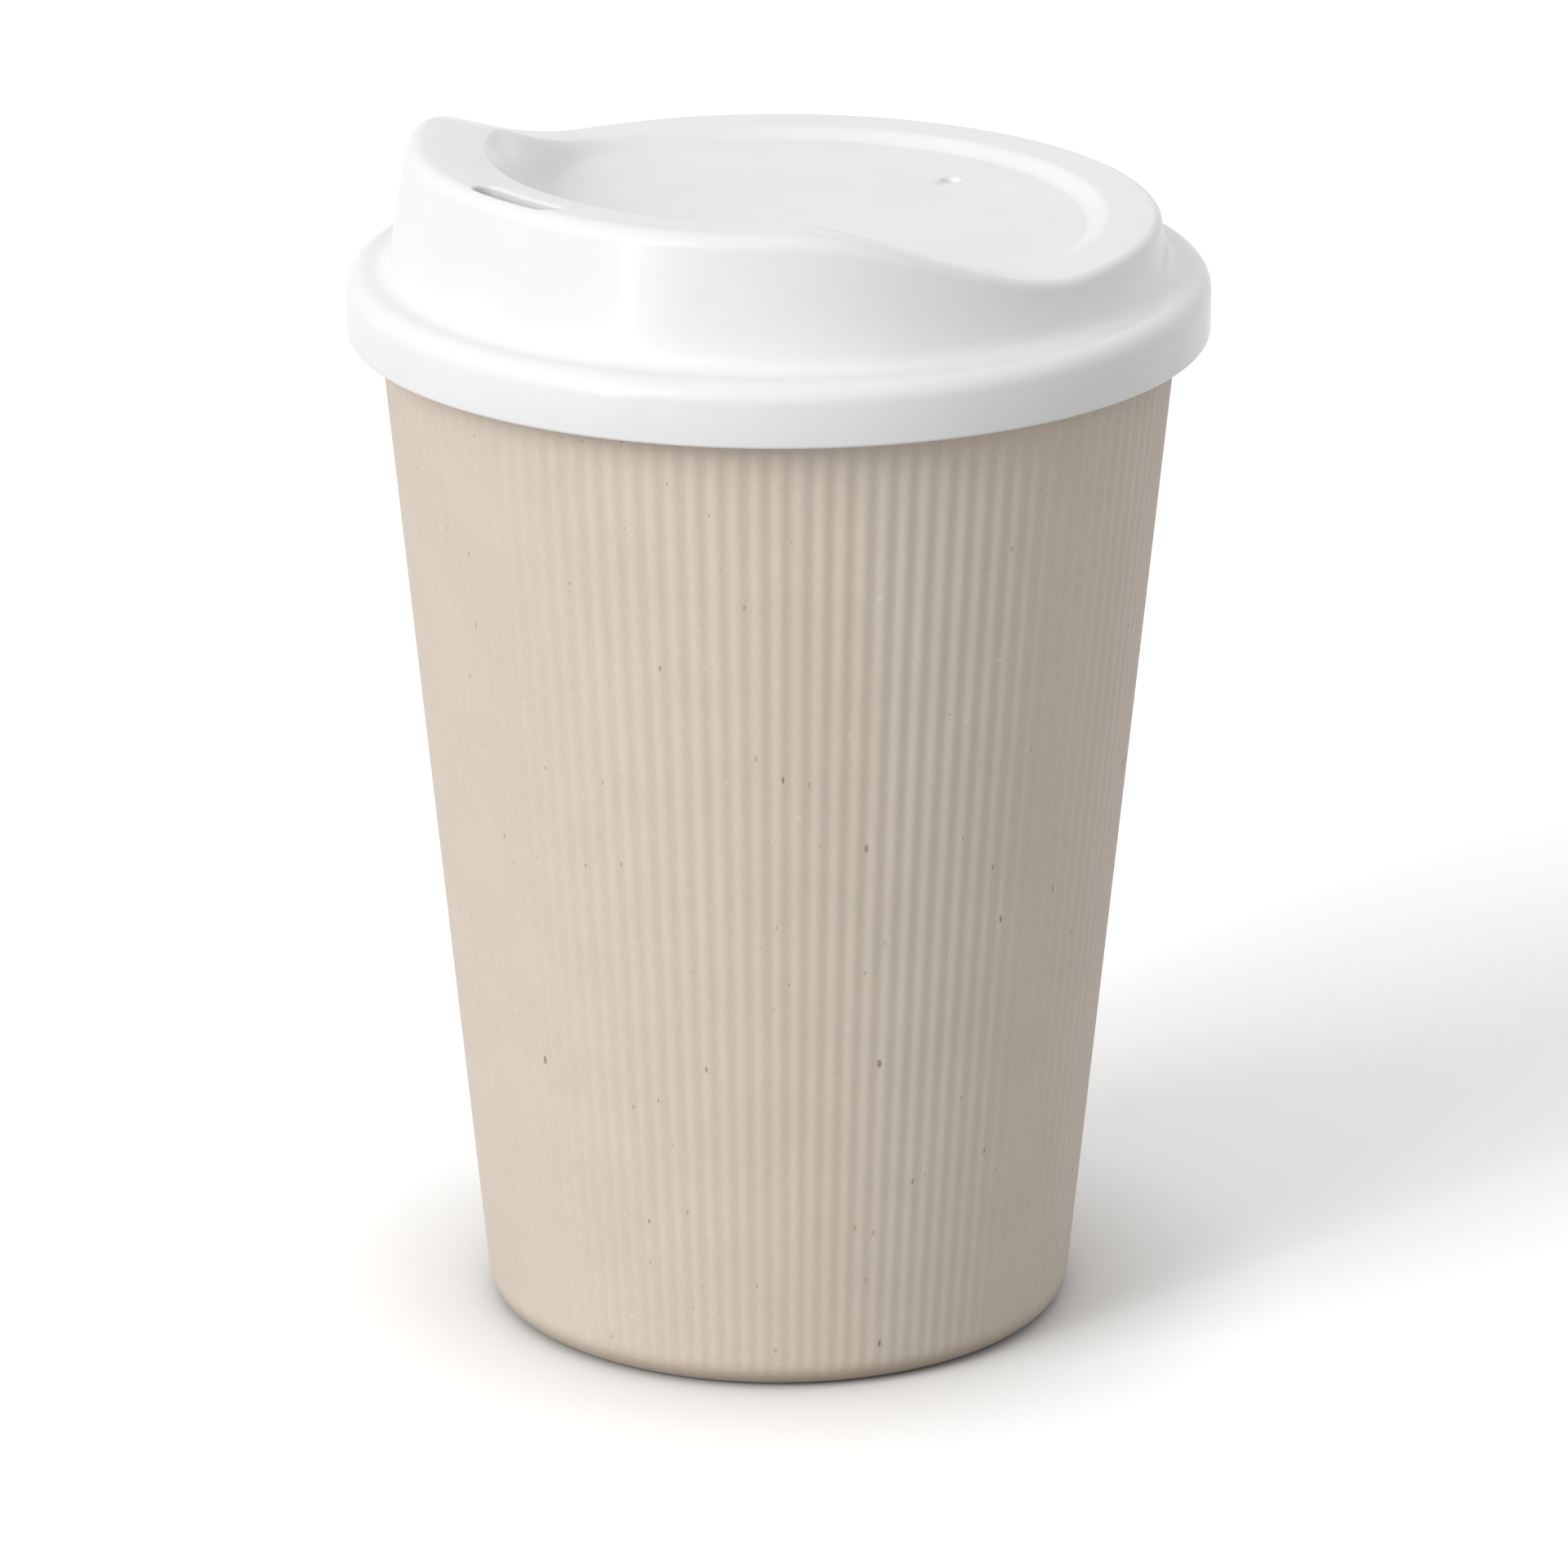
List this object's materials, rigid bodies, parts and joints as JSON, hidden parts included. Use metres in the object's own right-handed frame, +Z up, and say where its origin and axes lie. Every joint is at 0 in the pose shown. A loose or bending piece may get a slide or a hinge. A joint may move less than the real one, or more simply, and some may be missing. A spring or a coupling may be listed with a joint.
{
  "type": "reusable coffee cup with lid",
  "caption": "Tapered, fluted plant-fibre coffee cup with a plain neck under a press-on white drinking lid that has a raised spout, a sip slot, a sunken plate and a vent hole.",
  "frame": {"origin": "centre of the foot ring, on the plane that the cup stands on", "axes": "+Z up along the cup's axis, -Y towards the drinking spout"},
  "size_m": [0.094, 0.094, 0.1332],
  "materials": {
    "cup_fibre": "matt moulded plant fibre, beige with sparse dark flecks",
    "lid_plastic": "semi-gloss moulded white"
  },
  "bodies": {
    "cup": {"cup": "cup_fibre"},
    "lid": {"lid": "lid_plastic"}
  },
  "joints": [
    {"name": "lid_lift", "type": "slide", "parent": "cup", "child": "lid", "axis": [0, 0, 1], "range_m": [0, 0.03]}
  ]
}
